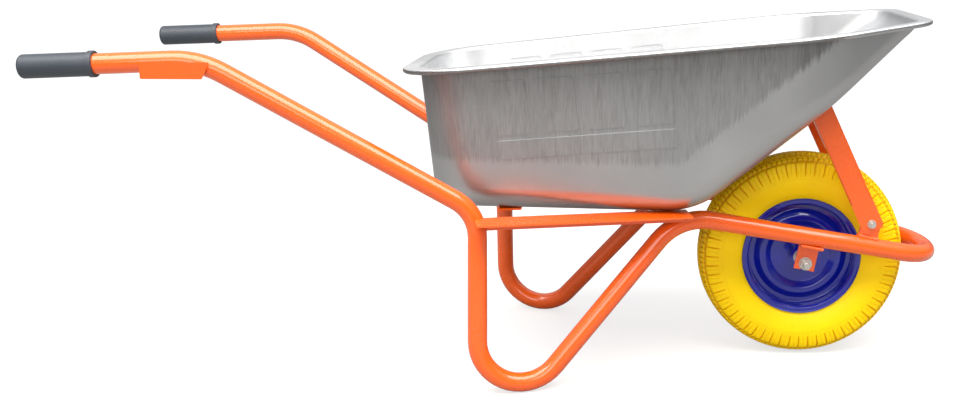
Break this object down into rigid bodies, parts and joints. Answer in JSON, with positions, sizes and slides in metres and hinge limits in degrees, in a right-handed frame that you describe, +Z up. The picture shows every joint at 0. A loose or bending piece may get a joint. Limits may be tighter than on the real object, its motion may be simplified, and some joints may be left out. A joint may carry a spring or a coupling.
{
  "type": "wheelbarrow",
  "caption": "Wheelbarrow: a pressed steel tray on a bent tube frame with handles, legs and a nose loop, folded struts, and a disc wheel with a solid tyre on ball bearings.",
  "frame": {"origin": "on the ground, midway along the barrow's length, on its plane of symmetry", "axes": "+X forwards to the wheel, +Y to the left of someone pushing it, +Z up"},
  "size_m": [1.564, 0.6114, 0.6503],
  "materials": {
    "orange_powder_coat": "gloss powder coat",
    "label_plate": "gloss paint",
    "grip_plastic": "soft satin plastic",
    "zinc_sheet": "galvanised sheet, satin",
    "zinc_fastener": "bright zinc plate",
    "bearing_steel": "ground steel",
    "blue_enamel": "gloss enamel",
    "yellow_tyre": "satin foamed polyurethane"
  },
  "bodies": {
    "barrow": {"frame_tube": "orange_powder_coat", "left_side_rail": "orange_powder_coat", "right_side_rail": "orange_powder_coat", "rear_cross_bar": "orange_powder_coat", "front_cross_bar": "orange_powder_coat", "strut_plate": "orange_powder_coat", "left_strut_tab": "orange_powder_coat", "right_strut_tab": "orange_powder_coat", "left_strut": "orange_powder_coat", "right_strut": "orange_powder_coat", "left_axle_bracket": "orange_powder_coat", "right_axle_bracket": "orange_powder_coat", "label_plate": "label_plate", "left_grip": "grip_plastic", "right_grip": "grip_plastic", "tray": "zinc_sheet", "axle": "zinc_fastener", "axle_spacers": "zinc_fastener", "axle_washers": "zinc_fastener", "axle_nuts": "zinc_fastener", "tray_bolts": "zinc_fastener", "tray_washers": "zinc_fastener", "tray_nuts": "zinc_fastener", "strut_bolts": "zinc_fastener", "strut_washers": "zinc_fastener", "strut_nuts": "zinc_fastener", "bearing_spacer": "zinc_fastener", "left_bearing_inner_ring": "bearing_steel", "right_bearing_inner_ring": "bearing_steel"},
    "wheel": {"left_bearing_outer_ring": "bearing_steel", "right_bearing_outer_ring": "bearing_steel", "left_bearing_balls": "bearing_steel", "right_bearing_balls": "bearing_steel", "hub_tube": "blue_enamel", "rim_barrel": "blue_enamel", "left_wheel_disc": "blue_enamel", "right_wheel_disc": "blue_enamel", "tyre": "yellow_tyre"}
  },
  "joints": [
    {"name": "wheel_spin", "type": "hinge", "parent": "barrow", "child": "wheel", "pos_m": [0.5243, 0, 0.196], "axis": [0, 1, 0], "continuous": true}
  ]
}
